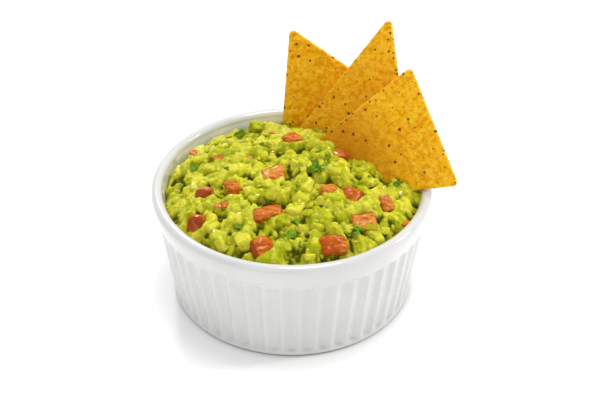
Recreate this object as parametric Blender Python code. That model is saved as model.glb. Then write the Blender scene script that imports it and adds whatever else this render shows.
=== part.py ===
"""A fluted white ramekin heaped with guacamole, with diced tomato and three tortilla chips stood in it.

Standalone Blender 4.5 script, in metres with +Z up. The origin is the centre of the ramekin's flat underside.
The front faces -Y, and the chips stand at the back right. Each solid is one object: the ramekin, the heap of
guacamole, which is solid down to the bowl's floor, each tomato piece and each chip. Pieces that touch in the
real dish are kept GAP apart, in pockets cut from the guacamole.
"""

import math
from collections import namedtuple

import bmesh
import bpy
import numpy as np

MM = 0.001
SHARP_ANGLE = math.radians(40.0)
GAP = 0.3  # clearance between neighbouring pieces; every size below is in millimetres

# Ramekin: a 12 cm dish, turned about Z, with flutes pressed into its outer wall
RIM_RADIUS = 60.0
HEIGHT = 53.2
LIP_RADIUS = 2.4
FOOT_RADIUS = 52.0
FOOT_CHAMFER = 1.0
FOOT_LINE = 2.2  # the smooth line left below the flutes
FLUTE_TOP_RADIUS = 58.0
FLUTE_TOP = 42.1
FLUTE_RUN_OUT = 1.3
FLUTE_DEPTH = 0.9
FLUTES = 48
FLUTE_PHASE = math.radians(3.25)
SEGMENTS_PER_FLUTE = 3
BAND_STEP = 0.9  # the plain band stands proud of the flutes by this much
BAND_TOP_RADIUS = 59.8
BAND_TOP = 48.4
INNER_RADIUS = 53.9  # inner wall just below the lip
INNER_TOP = 47.5
INNER_SLOPE = 0.11
FLOOR = 4.6
FLOOR_FILLET = 6.0

# Guacamole: a dome over a slanting edge level, with rounded lumps
HEAP_TOP = 63.8
EDGE_LEVEL = 48.6
EDGE_TILT = 2.8
LOW_SIDE = math.radians(112.0)
HEAP_RINGS = 17
LUMP_PITCH = 8.0
LUMP_HEIGHT = (1.6, 3.2)
LUMP_RADIUS = (4.6, 6.4)
LUMP_SHAKE = 0.3  # how far a lump's centre may lie off the lattice, as a share of the pitch
LUMP_CLEARANCE = 2.0  # between a lump's centre and a tomato piece
LUMP_SEED = 11

# Chips: flat triangles with rounded corners, cut from a fried sheet
CHIP_THICKNESS = 1.7
CHIP_CORNER = 1.9
CHIP_RINGS = 4
CHIP_EDGE_STEP = 14.0
SADDLE = 0.6  # a chip's bend across, as a share of its bend along
TWIST = 0.5
ARC_POINTS = 5

Chip = namedtuple("Chip", "name tip turn lean corners bend")
Die = namedtuple("Die", "x y size turn tilt lift")

# Each chip stands in a plane turned about Z and leaning back. Its corners are (along, up) from the tip in
# that plane, anticlockwise as seen from the front; the front chip's buried corner is broken off.
CHIPS = (
    Chip("chip_front", (50.2, 18.9, 98.8), -25.0, 25.0,
         ((0.0, 0.0), (-40.4, -46.5), (-23.5, -63.5), (30.3, -44.5)), 0.9),
    Chip("chip_middle", (42.4, 43.3, 109.5), -30.0, 20.0,
         ((0.0, 0.0), (-34.5, -63.2), (22.1, -58.0)), -0.8),
    Chip("chip_back", (-0.7, 53.9, 98.1), 0.0, 10.0,
         ((0.0, 0.0), (-4.6, -61.9), (48.6, -35.3)), 0.8),
)

# Tomato pieces: place on the heap, edge lengths, heading, tilt, and height of the centre over the heap
DICE = (
    Die(0.0, 19.0, (9.0, 7.5, 7.0), 35.0, 18.0, 0.4),
    Die(20.5, 6.8, (8.0, 5.5, 6.0), -30.0, 18.0, 1.0),
    Die(-8.0, -8.5, (10.5, 8.0, 6.5), 12.0, 10.0, -0.4),
    Die(-24.0, -14.0, (7.5, 6.0, 9.0), 20.0, -12.0, -0.8),
    Die(-36.5, -12.0, (8.5, 8.0, 7.0), -15.0, -25.0, 0.0),
    Die(15.5, -16.5, (8.0, 6.5, 5.5), 30.0, 8.0, -0.6),
    Die(25.0, -18.5, (9.5, 8.0, 7.5), -20.0, 20.0, 0.0),
    Die(39.0, -19.5, (6.5, 7.0, 9.0), 15.0, 24.0, 0.2),
    Die(-29.5, -23.0, (6.5, 5.5, 5.5), 40.0, -16.0, -0.3),
    Die(-10.0, -30.0, (13.0, 6.5, 6.5), 16.0, 16.0, 0.0),
    Die(-39.0, -28.0, (7.5, 7.0, 9.5), -30.0, -30.0, 0.0),
    Die(29.5, -31.5, (10.5, 8.0, 6.5), 8.0, 26.0, -0.4),
    Die(-12.5, -45.0, (9.0, 8.0, 9.0), 24.0, 34.0, -0.2),
    Die(17.0, -45.0, (11.0, 8.5, 8.5), 10.0, 32.0, 0.2),
    Die(-31.0, 12.5, (6.5, 6.0, 6.0), 28.0, -14.0, -0.9),
    Die(-17.0, 4.5, (6.5, 5.5, 5.0), 10.0, 10.0, -0.5),
)
DIE_BEVEL = 0.2  # share of the shortest edge
DIE_SKEW = 0.14
DIE_SEED = 5


def clear_scene():
    for obj in list(bpy.data.objects):
        bpy.data.objects.remove(obj, do_unlink=True)


def make_material(name, colour, roughness, subsurface=0.0):
    material = bpy.data.materials.new(name)
    material.use_nodes = True
    shader = material.node_tree.nodes["Principled BSDF"]
    shader.inputs["Base Color"].default_value = (*colour, 1.0)
    shader.inputs["Roughness"].default_value = roughness
    shader.inputs["Metallic"].default_value = 0.0
    shader.inputs["Subsurface Weight"].default_value = subsurface
    material.diffuse_color = (*colour, 1.0)
    return material


def add_object(name, points, faces, material):
    """An object in the scene from points in millimetres and faces that point outwards."""
    mesh = bpy.data.meshes.new(name)
    mesh.from_pydata((np.asarray(points) * MM).tolist(), [], faces)
    mesh.update()
    mesh.shade_smooth()
    mesh.set_sharp_from_angle(angle=SHARP_ANGLE)
    mesh.materials.append(material)
    obj = bpy.data.objects.new(name, mesh)
    bpy.context.scene.collection.objects.link(obj)
    return obj


def turned_ring(radius, height, count, phase=0.0):
    """Points on a level circle. The radius and the height may be one number or one for each point."""
    angle = phase + np.arange(count) * 2.0 * math.pi / count
    ones = np.ones(count)
    return np.stack([radius * np.cos(angle), radius * np.sin(angle), height * ones], axis=1)


def bridge(lower, lower_count, upper, upper_count):
    """Faces between two rings of a wall seen from outside, the second one above it.

    lower and upper are the index of each ring's first point. The counts are equal, or the first is double.
    """
    faces = []
    step = lower_count // upper_count
    for i in range(upper_count):
        after = (i + 1) % upper_count
        start = lower + i * step
        middle = lower + (i * step + 1) % lower_count
        if step == 1:
            faces.append((start, middle, upper + after, upper + i))
            continue
        end = lower + (i * step + 2) % lower_count
        faces.append((start, middle, upper + i))
        faces.append((middle, upper + after, upper + i))
        faces.append((middle, end, upper + after))
    return faces


def stack_rings(rings):
    """The points of all the rings, each ring's first index, and the faces between neighbours."""
    starts = np.cumsum([0] + [len(ring) for ring in rings]).tolist()
    faces = []
    for i in range(len(rings) - 1):
        faces += bridge(starts[i], len(rings[i]), starts[i + 1], len(rings[i + 1]))
    return np.concatenate(rings), starts, faces


def inner_radius(height):
    """The ramekin's inner wall, which narrows towards the floor."""
    return INNER_RADIUS - (INNER_TOP - height) * INNER_SLOPE


def fluted_radius(radius):
    """The outer wall at a ring: full radius on each narrow ridge, cut back in the groove between ridges."""
    depth = np.full(FLUTES * SEGMENTS_PER_FLUTE, FLUTE_DEPTH)
    depth[::SEGMENTS_PER_FLUTE] = 0.0
    return radius - depth


def wall_radius(height):
    """The outer wall's straight taper, measured over the ridges."""
    share = (height - FOOT_LINE) / (FLUTE_TOP - FOOT_LINE)
    return FOOT_RADIUS + share * (FLUTE_TOP_RADIUS - FOOT_RADIUS)


def make_ramekin():
    """Foot, fluted wall, plain band, round lip and smooth inside: rings from the underside to the floor."""
    full = FLUTES * SEGMENTS_PER_FLUTE
    half = full // 2
    flute_bottom = FOOT_LINE + FLUTE_RUN_OUT
    flute_end = FLUTE_TOP - FLUTE_RUN_OUT
    lip_height = HEIGHT - LIP_RADIUS
    lip_centre = RIM_RADIUS - LIP_RADIUS
    fluted = [
        turned_ring(FOOT_RADIUS - FOOT_CHAMFER, 0.0, full, FLUTE_PHASE),
        turned_ring(FOOT_RADIUS, FOOT_CHAMFER, full, FLUTE_PHASE),
        turned_ring(FOOT_RADIUS, FOOT_LINE, full, FLUTE_PHASE),
        turned_ring(fluted_radius(wall_radius(flute_bottom)), flute_bottom, full, FLUTE_PHASE),
        turned_ring(fluted_radius(wall_radius(flute_end)), flute_end, full, FLUTE_PHASE),
        turned_ring(wall_radius(FLUTE_TOP), FLUTE_TOP, full, FLUTE_PHASE),
    ]
    profile = [
        (wall_radius(FLUTE_TOP) + BAND_STEP, FLUTE_TOP + BAND_STEP),
        (BAND_TOP_RADIUS, BAND_TOP),
    ]
    for degrees in (0.0, 45.0, 90.0, 135.0, 180.0):
        angle = math.radians(degrees)
        profile.append((lip_centre + LIP_RADIUS * math.cos(angle), lip_height + LIP_RADIUS * math.sin(angle)))
    fillet_height = FLOOR + FLOOR_FILLET
    fillet_centre = inner_radius(fillet_height) - FLOOR_FILLET
    profile.append((inner_radius(INNER_TOP), INNER_TOP))
    for degrees in (0.0, 45.0, 90.0):
        angle = math.radians(degrees)
        profile.append((fillet_centre + FLOOR_FILLET * math.cos(angle),
                        fillet_height - FLOOR_FILLET * math.sin(angle)))
    rings = fluted + [turned_ring(radius, height, half, FLUTE_PHASE) for radius, height in profile]
    points, starts, faces = stack_rings(rings)
    faces.append(tuple(reversed(range(full))))
    faces.append(tuple(range(starts[-2], starts[-1])))
    porcelain = make_material("glazed_porcelain", (0.86, 0.86, 0.85), 0.12)
    return add_object("ramekin", points, faces, porcelain)


def heap_height(x, y):
    """The guacamole's smooth level: a slanting edge with a parabolic dome on it."""
    radius = np.hypot(x, y)
    edge = EDGE_LEVEL - EDGE_TILT * np.cos(np.arctan2(y, x) - LOW_SIDE)
    dome = 1.0 - np.minimum(radius / INNER_RADIUS, 1.0) ** 2
    return edge + (HEAP_TOP - edge) * dome


def lump_field(x, y):
    """The lumps' height over the smooth level: rounded bumps on a shaken square lattice, off the tomato."""
    rng = np.random.default_rng(LUMP_SEED)
    reach = math.ceil(INNER_RADIUS / LUMP_PITCH)
    steps = np.arange(-reach, reach + 1) * LUMP_PITCH
    centres = np.stack(np.meshgrid(steps, steps), axis=-1).reshape(-1, 2)
    centres = centres + rng.uniform(-LUMP_SHAKE, LUMP_SHAKE, centres.shape) * LUMP_PITCH
    heights = rng.uniform(*LUMP_HEIGHT, len(centres))
    radii = rng.uniform(*LUMP_RADIUS, len(centres))
    inside = np.hypot(centres[:, 0], centres[:, 1]) < INNER_RADIUS - LUMP_RADIUS[1]
    for die in DICE:
        distance = np.hypot(centres[:, 0] - die.x, centres[:, 1] - die.y)
        inside &= distance > max(die.size) / 2.0 + LUMP_CLEARANCE
    field = np.zeros_like(x)
    for centre, height, radius in zip(centres[inside], heights[inside], radii[inside]):
        near = np.clip(1.0 - ((x - centre[0]) ** 2 + (y - centre[1]) ** 2) / radius ** 2, 0.0, None)
        field = np.maximum(field, height * near ** 1.5)
    return field


def heap_rings():
    """Rings of 1, 6, 12, 18... points, which cover the heap's top with nearly equal triangles."""
    wall = INNER_RADIUS - GAP
    rings = [np.array([[0.0, 0.0, heap_height(0.0, 0.0)]])]
    for k in range(1, HEAP_RINGS + 1):
        ring = turned_ring(wall * k / HEAP_RINGS, 0.0, 6 * k)
        ring[:, 2] = heap_height(ring[:, 0], ring[:, 1]) + lump_field(ring[:, 0], ring[:, 1])
        rings.append(ring)
    last = rings[-1]
    last[:, :2] *= ((inner_radius(last[:, 2]) - GAP) / wall)[:, None]
    return rings


def fan_faces(ring_number):
    """Triangles between ring k - 1 and ring k, in six equal sectors, facing up."""
    k = ring_number
    outer_start = 1 + 3 * k * (k - 1)
    inner_start = 1 + 3 * (k - 1) * (k - 2) if k > 1 else 0
    inner_count = max(6 * (k - 1), 1)
    faces = []
    for sector in range(6):
        for j in range(k):
            outer = outer_start + sector * k + j
            outer_next = outer_start + (sector * k + j + 1) % (6 * k)
            inner = inner_start + (sector * (k - 1) + j) % inner_count
            faces.append((inner, outer, outer_next))
            if j < k - 1:
                inner_next = inner_start + (sector * (k - 1) + j + 1) % inner_count
                faces.append((inner, outer_next, inner_next))
    return faces


def make_guacamole(cutters):
    """One solid from the bowl's floor to the lumpy top, with pockets for what stands in it."""
    rings = heap_rings()
    count = len(rings[-1])
    fillet = FLOOR_FILLET
    fillet_height = FLOOR + fillet
    fillet_centre = inner_radius(fillet_height) - fillet
    for angle in (0.0, math.pi / 2.0):
        rings.append(turned_ring(fillet_centre + (fillet - GAP) * math.cos(angle),
                                 fillet_height - (fillet - GAP) * math.sin(angle), count))
    points = np.concatenate(rings)
    faces = []
    for k in range(1, HEAP_RINGS + 1):
        faces += fan_faces(k)
    rim = 1 + 3 * HEAP_RINGS * (HEAP_RINGS - 1)
    for upper in (rim, rim + count):
        faces += bridge(upper + count, count, upper, count)
    base = rim + 2 * count
    faces.append(tuple(reversed(range(base, base + count))))
    green = make_material("mashed_avocado", (0.45, 0.47, 0.06), 0.35, 0.1)
    guacamole = add_object("guacamole", points, faces, green)
    cut = guacamole.modifiers.new("pockets", "BOOLEAN")
    cut.operation = "DIFFERENCE"
    cut.operand_type = "COLLECTION"
    cut.collection = cutters
    cut.solver = "EXACT"
    return guacamole


def rounded_outline(corners, radius):
    """Points and outward normals round a polygon with arcs for corners, anticlockwise."""
    corners = np.asarray(corners, float)
    points, normals = [], []
    for i in range(len(corners)):
        corner = corners[i]
        back = corners[i - 1] - corner
        ahead = corners[(i + 1) % len(corners)] - corner
        back_length, ahead_length = np.linalg.norm(back), np.linalg.norm(ahead)
        back, ahead = back / back_length, ahead / ahead_length
        half = math.acos(float(back @ ahead)) / 2.0
        bisector = (back + ahead) / np.linalg.norm(back + ahead)
        centre = corner + bisector * radius / math.sin(half)
        enter, leave = np.array([back[1], -back[0]]), np.array([-ahead[1], ahead[0]])
        enter, leave = (n if n @ bisector < 0.0 else -n for n in (enter, leave))
        for share in np.linspace(0.0, 1.0, ARC_POINTS):
            angle = math.pi - 2.0 * half
            normal = math.sin((1.0 - share) * angle) * enter + math.sin(share * angle) * leave
            normal /= math.sin(angle)
            points.append(centre + radius * normal)
            normals.append(normal)
        start = points[-1]
        straight = ahead_length - radius / math.tan(half)
        following = corners[(i + 2) % len(corners)] - corners[(i + 1) % len(corners)]
        following /= np.linalg.norm(following)
        next_half = math.acos(float(-ahead @ following)) / 2.0
        straight -= radius / math.tan(next_half)
        pieces = max(int(straight / CHIP_EDGE_STEP), 1)
        for k in range(1, pieces):
            points.append(start + ahead * straight * k / pieces)
            normals.append(leave)
    return np.array(points), np.array(normals)


def chip_mesh(chip, grow):
    """Points and faces of one chip: its outline shrunk to the middle in rings, on both sides of a bent sheet.

    grow makes it larger all round, for the slot that it stands in.
    """
    outline, normals = rounded_outline(chip.corners, CHIP_CORNER)
    middle = outline.mean(axis=0)
    outline = outline + normals * grow
    reach = np.abs(outline - middle).max()
    half = CHIP_THICKNESS / 2.0 + grow
    turn, lean = math.radians(chip.turn), math.radians(chip.lean)
    along = np.array([math.cos(turn), math.sin(turn), 0.0])
    up = np.array([-math.sin(turn) * math.sin(lean), math.cos(turn) * math.sin(lean), math.cos(lean)])
    back = -np.cross(along, up)
    rings = []
    for side in (-1.0, 1.0):
        for k in range(CHIP_RINGS, 0, -1):
            flat = middle + (outline - middle) * k / CHIP_RINGS
            rings.append((flat, side))
    rings = rings[:CHIP_RINGS][::-1] + rings[CHIP_RINGS:]
    flats = [(middle[None], -1.0)] + rings + [(middle[None], 1.0)]
    points = []
    for flat, side in flats:
        u, v = (flat - middle).T / reach
        rise = chip.bend * (u * u - SADDLE * v * v + TWIST * u * v) + side * half
        points.append(np.asarray(chip.tip) + flat[:, :1] * along + flat[:, 1:] * up + rise[:, None] * back)
    count = len(outline)
    starts = [1 + i * count for i in range(2 * CHIP_RINGS)]
    faces = []
    for i in range(count):
        after = (i + 1) % count
        faces.append((0, starts[0] + i, starts[0] + after))
        for lower, upper in zip(starts, starts[1:]):
            faces.append((lower + i, upper + i, upper + after, lower + after))
        faces.append((starts[-1] + i, starts[-1] + count, starts[-1] + after))
    return np.concatenate(points), faces


def die_mesh(die, number, grow):
    """Points and faces of one tomato piece: a bevelled box, skewed and tapered as a knife leaves it."""
    rng = np.random.default_rng(DIE_SEED + number)
    skew = rng.uniform(-DIE_SKEW, DIE_SKEW, 4)
    size = np.array(die.size) + 2.0 * grow
    box = bmesh.new()
    bmesh.ops.create_cube(box, size=1.0)
    bmesh.ops.scale(box, vec=size.tolist(), verts=box.verts)
    bmesh.ops.bevel(box, geom=box.edges[:], offset=DIE_BEVEL * min(die.size), segments=1, profile=0.5,
                    affect="EDGES")
    box.verts.index_update()
    points = np.array([vert.co[:] for vert in box.verts])
    faces = [tuple(vert.index for vert in face.verts) for face in box.faces]
    box.free()
    x, y, z = points.T
    height = z * (1.0 + skew[2] * x / size[0]) + skew[3] * y
    points = np.stack([x + skew[0] * z, y + skew[1] * x, height], axis=1)
    turn, tilt = math.radians(die.turn), math.radians(die.tilt)
    tilted = np.array([[1, 0, 0], [0, math.cos(tilt), -math.sin(tilt)], [0, math.sin(tilt), math.cos(tilt)]])
    turned = np.array([[math.cos(turn), -math.sin(turn), 0], [math.sin(turn), math.cos(turn), 0], [0, 0, 1]])
    place = np.array([die.x, die.y, heap_height(die.x, die.y) + die.lift])
    return points @ (turned @ tilted).T + place, faces


def as_cutter(obj, cutters):
    """Take an object out of the scene and keep it as one of the guacamole's pockets."""
    bpy.context.scene.collection.objects.unlink(obj)
    cutters.objects.link(obj)
    obj.hide_render = True
    obj.display_type = "WIRE"


def make_toppings(cutters):
    """The chips and tomato pieces, each with a slightly larger cutter that opens its pocket."""
    fried_corn = make_material("fried_corn", (0.72, 0.40, 0.04), 0.55)
    tomato = make_material("tomato_flesh", (0.62, 0.10, 0.03), 0.25, 0.1)
    for chip in CHIPS:
        add_object(chip.name, *chip_mesh(chip, 0.0), fried_corn)
        as_cutter(add_object(f"cut_{chip.name}", *chip_mesh(chip, GAP), fried_corn), cutters)
    for number, die in enumerate(DICE, start=1):
        name = f"tomato_{number:02d}"
        add_object(name, *die_mesh(die, number, 0.0), tomato)
        as_cutter(add_object(f"cut_{name}", *die_mesh(die, number, GAP), tomato), cutters)


def main():
    clear_scene()
    cutters = bpy.data.collections.new("pocket_cutters")
    bpy.context.scene.collection.children.link(cutters)
    make_ramekin()
    make_toppings(cutters)
    make_guacamole(cutters)


main()
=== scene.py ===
import math
from collections import namedtuple
from functools import lru_cache

import bpy
import numpy as np
from bpy.props import FloatProperty, FloatVectorProperty, IntProperty, PointerProperty
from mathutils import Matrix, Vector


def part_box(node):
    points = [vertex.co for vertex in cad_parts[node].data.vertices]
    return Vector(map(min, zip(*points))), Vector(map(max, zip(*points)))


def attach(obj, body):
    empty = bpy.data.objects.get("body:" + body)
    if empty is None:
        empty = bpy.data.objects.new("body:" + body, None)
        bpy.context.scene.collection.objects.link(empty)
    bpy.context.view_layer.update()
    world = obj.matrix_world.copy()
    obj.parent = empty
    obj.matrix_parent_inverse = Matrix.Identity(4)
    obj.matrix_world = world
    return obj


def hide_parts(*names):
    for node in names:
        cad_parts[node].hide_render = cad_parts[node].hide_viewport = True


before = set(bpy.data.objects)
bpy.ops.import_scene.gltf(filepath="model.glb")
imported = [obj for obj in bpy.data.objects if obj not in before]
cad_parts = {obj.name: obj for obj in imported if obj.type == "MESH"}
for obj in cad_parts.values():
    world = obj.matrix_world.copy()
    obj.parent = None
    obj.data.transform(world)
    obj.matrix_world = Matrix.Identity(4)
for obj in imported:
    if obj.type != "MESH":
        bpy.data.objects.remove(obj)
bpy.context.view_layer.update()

bl_info = {
    "name": "Guacamole in a Ramekin",
    "version": (1, 0, 0),
    "blender": (4, 5, 0),
    "location": "View3D > Sidebar > Dips",
    "description": "Builds a fluted ramekin of chunky guacamole with tomato, herbs and tortilla chips",
    "category": "Add Mesh",
}

# Shapes are worked out in millimetres, in the frame's axes, and put into meshes in metres.
MM = 0.001
BODY = "root"
UP = np.array([0.0, 0.0, 1.0])


def box_mm(node):
    """A frame node's lowest and highest corners, in millimetres."""
    return tuple(np.array(corner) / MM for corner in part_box(node))


BOWL_LOW, BOWL_HIGH = box_mm("ramekin")
RIM_RADIUS = 0.5 * (BOWL_HIGH[0] - BOWL_LOW[0])
BOWL_HEIGHT = BOWL_HIGH[2] - BOWL_LOW[2]

# The ramekin's profile, as shares of its rim radius or lengths that the kiln leaves the same on any size
LIP_RADIUS = 2.4
FOOT_RADIUS = 0.867 * RIM_RADIUS
FOOT_ROUNDING = 1.5
FOOT_LINE = 2.2
FLUTE_TOP = BOWL_HEIGHT - 11.1
FLUTE_TOP_RADIUS = 0.967 * RIM_RADIUS
FLUTE_PHASE = math.radians(3.25)
FLUTE_START = 0.2
LOW_FADE = 1.4
HIGH_FADE = 2.0
RIDGE_WIDTH = 0.27
BAND_STEP = 0.7
BAND_RISE = 2.2
BAND_TOP = BOWL_HEIGHT - 4.8
BAND_INSET = 0.2
INNER_RADIUS = 0.9 * RIM_RADIUS
INNER_TOP = BOWL_HEIGHT - 5.7
INNER_SLOPE = 0.11
FLOOR = 4.6
FLOOR_FILLET = 6.0

# The heap: a dome over a slanting edge level
HEAP_TOP = 63.8
EDGE_LEVEL = 48.6
EDGE_TILT = 2.8
LOW_SIDE = math.radians(112.0)

Chip = namedtuple("Chip", "node turn lean corners bend browned seed")
Die = namedtuple("Die", "node size turn tilt smear redness")

# A chip's corners are (along, up) from its tip, in a plane turned about Z and leaning back. bend is how far
# its sides stand out of the plane, and the sixth field how much painted shade darkens it at its foot.
CHIPS = (
    Chip("chip_front", -25.0, 25.0, ((0.0, 0.0), (-40.4, -46.5), (-23.5, -63.5), (30.3, -44.5)),
         0.9, 1.0, 21),
    Chip("chip_middle", -30.0, 20.0, ((0.0, 0.0), (-34.5, -63.2), (22.1, -58.0)), -0.8, 0.3, 22),
    Chip("chip_back", 0.0, 10.0, ((0.0, 0.0), (-4.6, -61.9), (48.6, -35.3)), 0.8, 0.0, 23),
)
CHIP_CORNER = 1.9

# Tomato pieces: edge lengths, heading, tilt, how far mash has smeared over them, and how red the flesh is
DICE = tuple(Die(f"tomato_{number:02d}", *row) for number, row in enumerate((
    ((9.0, 7.5, 7.0), 35.0, 18.0, 0.25, 0.8),
    ((8.0, 5.5, 6.0), -30.0, 18.0, 0.25, 0.8),
    ((10.5, 8.0, 6.5), 12.0, 10.0, 0.6, 0.3),
    ((7.5, 6.0, 9.0), 20.0, -12.0, 0.35, 0.9),
    ((8.5, 8.0, 7.0), -15.0, -25.0, 0.45, 0.7),
    ((8.0, 6.5, 5.5), 30.0, 8.0, 0.5, 0.4),
    ((9.5, 8.0, 7.5), -20.0, 20.0, 0.2, 0.9),
    ((6.5, 7.0, 9.0), 15.0, 24.0, 0.3, 0.6),
    ((6.5, 5.5, 5.5), 40.0, -16.0, 0.55, 0.5),
    ((13.0, 6.5, 6.5), 16.0, 16.0, 0.15, 0.8),
    ((7.5, 7.0, 9.5), -30.0, -30.0, 0.2, 0.9),
    ((10.5, 8.0, 6.5), 8.0, 26.0, 0.45, 0.3),
    ((9.0, 8.0, 9.0), 24.0, 34.0, 0.15, 1.0),
    ((11.0, 8.5, 8.5), 10.0, 32.0, 0.15, 1.0),
    ((6.5, 6.0, 6.0), 28.0, -14.0, 0.6, 0.6),
    ((6.5, 5.5, 5.0), 10.0, 10.0, 0.8, 0.3)), 1))

# How far the finished dice lie below their places in the frame, settled into the mash
TOMATO_SINK = 1.1

# The mash's lumps, from coarse to fine
Lumps = namedtuple("Lumps", "pitch radii rise squareness slant blur")
LUMPS = (
    Lumps(8.4, (2.8, 6.0), (3.2, 5.6), (2.2, 3.6), 1.2, 0.5),
    Lumps(5.4, (1.4, 3.2), (0.8, 1.9), (2.2, 3.6), 0.7, 0.42),
    Lumps(2.7, (0.7, 1.5), (0.3, 0.85), (1.9, 2.5), 0.2, 0.22),
)

# Where the mash is piled higher or pressed down: x, y, reach and rise
EXTRA_HEAPS = ((11.0, 14.5, 4.5, 2.6), (-17.0, 38.0, 5.0, -1.8))

# Sprigs and scraps that stand out on the heap: x, y and reach
LEAF_PLACES = (
    (9.9, -6.8, 4.4), (11.6, -8.4, 3.2), (24.2, -39.4, 4.6), (26.0, -36.6, 3.4), (-1.2, -39.9, 3.8),
    (-20.6, -35.5, 3.8), (-22.4, -38.0, 3.0), (-41.5, 7.3, 3.6), (-22.9, 33.3, 3.4), (-12.7, 12.4, 3.6),
    (-2.5, 37.4, 3.0), (44.6, -8.7, 2.8))
SLIVER_PLACES = ((-42.2, 19.4, 2.6), (46.9, -26.8, 2.4), (-27.0, -23.5, 2.4))
STALK_PLACES = ((0.8, -32.8, 7.0), (14.0, -3.0, 3.5))


# ---------------------------------------------------------------- settings

def colour_setting(name, description, default):
    """A colour that can be set."""
    return FloatVectorProperty(name=name, description=description, subtype="COLOR", default=default)


def count_setting(name, description, default):
    """A whole number that can be set."""
    return IntProperty(name=name, description=description, default=default, min=0)


def angle_setting(name, description, degrees):
    """An angle that can be set."""
    return FloatProperty(name=name, description=description, default=math.radians(degrees), subtype="ANGLE")


class RamekinSettings(bpy.types.PropertyGroup):
    flutes: IntProperty(name="Flutes", description="Ridges round the outer wall", default=48, min=8)
    flute_depth: FloatProperty(
        name="Flute depth", description="How far the grooves are pressed in, in millimetres", default=1.5)
    glaze: colour_setting("Glaze", "Colour of the glaze", (0.68, 0.68, 0.669))
    # The ring's near-black colour is a painted contact shadow where the foot meets the floor.
    bare_foot_and_shadow: colour_setting("Bare foot", "Colour of the unglazed ring underneath", (0.14, 0.135, 0.13))


class GuacamoleSettings(bpy.types.PropertyGroup):
    seed: count_setting("Seed", "Changes how the lumps fall", 7)
    chunks: count_setting("Chunks", "Separate pieces of avocado on the mash", 150)
    crumbs: count_setting("Crumbs", "Small bits of avocado on the mash", 130)
    pale: colour_setting("Pale flesh", "Colour of fresh avocado", (0.74, 0.70, 0.05))
    fresh: colour_setting("Green flesh", "Colour of mashed avocado", (0.42, 0.455, 0.002))
    # Dark grain in the mash, and also the colour of the painted shade in its hollows.
    dark_grain_and_shade: colour_setting("Deep mash", "Colour in the hollows", (0.09, 0.107, 0.0))


class TomatoSettings(bpy.types.PropertyGroup):
    slivers: count_setting("Slivers", "Small slivers between the dice", 7)
    # The skin's colour is also painted as shade on the lower part of each piece.
    skin: colour_setting("Skin", "Colour of the tomato's skin", (0.36, 0.05, 0.0))
    flesh: colour_setting("Flesh", "Colour of the cut flesh", (0.55, 0.1, 0.0))
    faded: colour_setting("Faded flesh", "Colour of pale cut flesh", (0.72, 0.30, 0.05))


class HerbSettings(bpy.types.PropertyGroup):
    leaves: count_setting("Leaves", "Scraps of leaf", 15)
    stalks: count_setting("Stalks", "Cut stalks", 7)
    leaf: colour_setting("Leaf", "Colour of the leaf", (0.013, 0.064, 0.0))
    stalk: colour_setting("Stalk", "Colour of the stalk", (0.25, 0.42, 0.02))


class ChipSettings(bpy.types.PropertyGroup):
    thickness: FloatProperty(name="Thickness", description="Of the fried sheet, in millimetres", default=1.6)
    golden: colour_setting("Golden corn", "Main colour", (1.0, 0.555, 0.001))
    toasted: colour_setting("Toasted corn", "Browner patches", (0.77, 0.31, 0.001))
    # Painted shade: laid over each chip towards its foot, where it goes into the mash.
    browned: colour_setting("Browned corn", "Towards a chip's foot", (0.62, 0.245, 0.001))
    # Also laid along each chip's edge as a painted highlight.
    pale: colour_setting("Pale corn", "Blisters and edges", (1.0, 0.62, 0.05))
    char: colour_setting("Char", "Burnt specks", (0.16, 0.022, 0.001))


class StageSettings(bpy.types.PropertyGroup):
    distance: FloatProperty(
        name="Distance", description="From the camera to the rim's centre", default=0.6385, unit="LENGTH")
    elevation: angle_setting("Elevation", "Of the camera over the rim", 35.39)
    pitch: angle_setting("Pitch", "How far the camera looks down", 36.09)
    yaw: angle_setting("Yaw", "How far the camera looks to the right", 0.38)
    lens: FloatProperty(name="Lens", description="Focal length in millimetres", default=90.0)


GROUPS = {
    "ramekin_settings": RamekinSettings,
    "guacamole_settings": GuacamoleSettings,
    "tomato_settings": TomatoSettings,
    "herb_settings": HerbSettings,
    "chip_settings": ChipSettings,
    "dip_stage_settings": StageSettings,
}


# ---------------------------------------------------------------- meshes

WAVES_EACH = 5


def add_piece(name, points, faces, material, replaces=(), attributes=None):
    """A smooth-shaded mesh object from points in millimetres and arrays of triangles or quads.

    attributes maps a name to one number or one vector for each point. The piece rides on the frame's body.
    """
    faces = [np.asarray(block) for block in (faces if isinstance(faces, (list, tuple)) else [faces])]
    sizes = np.concatenate([np.full(len(block), block.shape[1]) for block in faces])
    corners = np.concatenate([block.ravel() for block in faces])
    mesh = bpy.data.meshes.new(name)
    mesh.vertices.add(len(points))
    mesh.vertices.foreach_set("co", (np.asarray(points) * MM).astype(np.float32).ravel())
    mesh.loops.add(len(corners))
    mesh.loops.foreach_set("vertex_index", corners.astype(np.int32))
    mesh.polygons.add(len(sizes))
    mesh.polygons.foreach_set("loop_start", (np.cumsum(sizes) - sizes).astype(np.int32))
    mesh.update(calc_edges=True)
    mesh.validate()
    for key, values in (attributes or {}).items():
        values = np.asarray(values, np.float32)
        kind, field = ("FLOAT", "value") if values.ndim == 1 else ("FLOAT_VECTOR", "vector")
        mesh.attributes.new(key, kind, "POINT").data.foreach_set(field, values.ravel())
    mesh.shade_smooth()
    mesh.materials.append(material)
    piece = bpy.data.objects.new(name, mesh)
    bpy.context.scene.collection.objects.link(piece)
    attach(piece, BODY)
    if replaces:
        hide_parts(*replaces)
    return piece


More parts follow.
